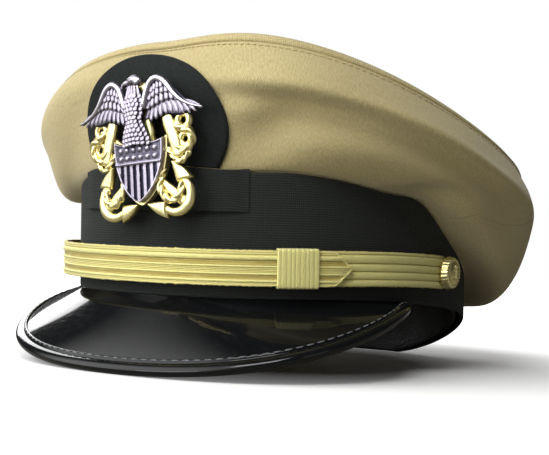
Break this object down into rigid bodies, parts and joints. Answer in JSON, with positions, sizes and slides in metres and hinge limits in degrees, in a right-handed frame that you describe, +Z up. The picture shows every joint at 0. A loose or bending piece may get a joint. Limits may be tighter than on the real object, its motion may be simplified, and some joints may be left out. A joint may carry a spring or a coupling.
{
  "type": "peaked cap",
  "caption": "Peaked dress cap with a raised cloth crown, an upright band, a glossy peak, a gold lace chin strap and a metal badge on a half-round patch.",
  "frame": {"origin": "on the floor under the middle of the cap's outline", "axes": "+Z up, -Y towards the front of the cap where the peak is, +X towards the wearer's left"},
  "size_m": [0.2384, 0.266, 0.1432],
  "materials": {
    "crown_cloth": "khaki twill, matte",
    "band_cloth": "black ribbed braid, matte",
    "patch_cloth": "black felt, matte",
    "sweatband_leather": "black leather, satin",
    "peak_leather": "black patent, high gloss",
    "binding_leather": "black patent, gloss, stitched",
    "gold_lace": "gold wire lace, soft metallic sheen",
    "gilt_metal": "gilt, polished",
    "silver_metal": "silver, oxidised in the recesses"
  },
  "bodies": {
    "root": {"crown_front": "crown_cloth", "crown_back": "crown_cloth", "crown_top": "crown_cloth", "cap_band": "band_cloth", "band_overlay": "band_cloth", "badge_patch": "patch_cloth", "sweatband": "sweatband_leather", "peak": "peak_leather", "peak_binding": "binding_leather", "chin_strap_long": "gold_lace", "chin_strap_short": "gold_lace", "strap_slide": "gold_lace", "strap_button_left": "gilt_metal", "strap_button_right": "gilt_metal", "badge_anchors": "gilt_metal", "badge_eagle": "silver_metal", "badge_post": "gilt_metal"}
  },
  "joints": []
}
